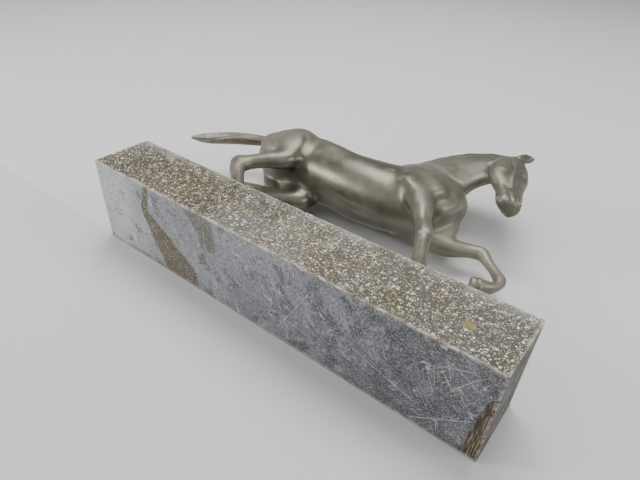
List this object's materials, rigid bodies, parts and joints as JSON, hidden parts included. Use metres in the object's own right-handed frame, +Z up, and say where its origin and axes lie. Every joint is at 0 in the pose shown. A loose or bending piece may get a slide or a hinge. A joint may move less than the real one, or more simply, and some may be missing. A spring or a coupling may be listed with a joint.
{
  "type": "horse statue",
  "caption": "Bronze horse in a collected trot, neck arched and tail lifted, its planted hooves fixed with studs to a long flecked stone plinth.",
  "frame": {"origin": "middle of the plinth's underside", "axes": "+X the way the horse faces, +Y the horse's left, +Z up"},
  "size_m": [0.4262, 0.084, 0.3273],
  "materials": {
    "stone": "sawn dark blue-grey limestone flecked with pale fossils, worn edges",
    "bronze": "cast bronze with a dark olive-brown patina, waxed, soft sheen",
    "stud_steel": "plain bright steel bar",
    "resin": "hardened cream anchoring resin"
  },
  "bodies": {
    "root": {"plinth": "stone", "torso": "bronze", "neck": "bronze", "head": "bronze", "tail": "bronze", "right_foreleg": "bronze", "left_foreleg": "bronze", "right_hindleg": "bronze", "left_hindleg": "bronze", "right_fore_stud": "stud_steel", "right_hind_stud": "stud_steel", "left_hind_stud": "stud_steel", "right_fore_resin": "resin", "right_hind_resin": "resin", "left_hind_resin": "resin"}
  },
  "joints": []
}
